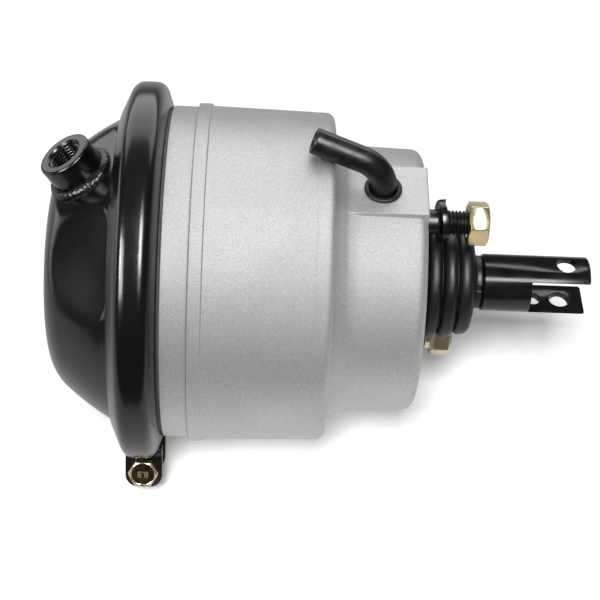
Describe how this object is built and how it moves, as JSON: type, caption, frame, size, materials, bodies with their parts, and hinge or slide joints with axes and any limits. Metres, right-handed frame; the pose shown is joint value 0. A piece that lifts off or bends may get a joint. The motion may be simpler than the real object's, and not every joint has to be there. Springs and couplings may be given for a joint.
{
  "type": "air brake chamber",
  "caption": "Air brake chamber: cast aluminium housing, pressed cover held by a clamp band, sprung push rod with a round fork end, threaded port and breather elbow.",
  "frame": {"origin": "on the push rod's axis, in the plane of the mounting face, midway between the studs", "axes": "+X along the push rod, out of the chamber; +Z towards the stud on the breather's side; +Y completes a right-handed set"},
  "size_m": [0.2623, 0.183, 0.2],
  "materials": {
    "cast_aluminium": "shot-blasted casting",
    "black_enamel": "gloss",
    "black_rubber": "dull",
    "fabric_rubber": "woven",
    "yellow_zinc": "yellow passivated zinc",
    "white_zinc": "bright zinc",
    "black_steel": "black oxide",
    "spring_steel": "coated",
    "plain_plate": "pressed"
  },
  "bodies": {
    "chamber": {"boot": "black_rubber", "boot_retainer": "black_steel", "breather_elbow": "black_rubber", "breather_grommet": "black_rubber", "clamp_band": "black_enamel", "clamp_bolt": "yellow_zinc", "clamp_nut": "yellow_zinc", "clamp_washer": "yellow_zinc", "diaphragm": "fabric_rubber", "housing": "cast_aluminium", "lock_washer": "black_steel", "lower_stud": "black_steel", "lower_stud_nut": "yellow_zinc", "port_boss": "black_enamel", "port_weld": "black_enamel", "pressure_cover": "black_enamel", "return_spring": "spring_steel", "spring_seat": "plain_plate", "upper_stud": "black_steel", "upper_stud_nut": "yellow_zinc"},
    "rod": {"push_plate": "plain_plate", "push_rod": "white_zinc", "fork_end": "black_steel"}
  },
  "joints": [
    {"name": "rod_stroke", "type": "slide", "parent": "chamber", "child": "rod", "axis": [1, 0, 0], "range_m": [0, 0.057], "stiffness_N_per_m": 1000, "springref_m": -0.12, "deforming": ["boot", "return_spring", "diaphragm"]}
  ]
}
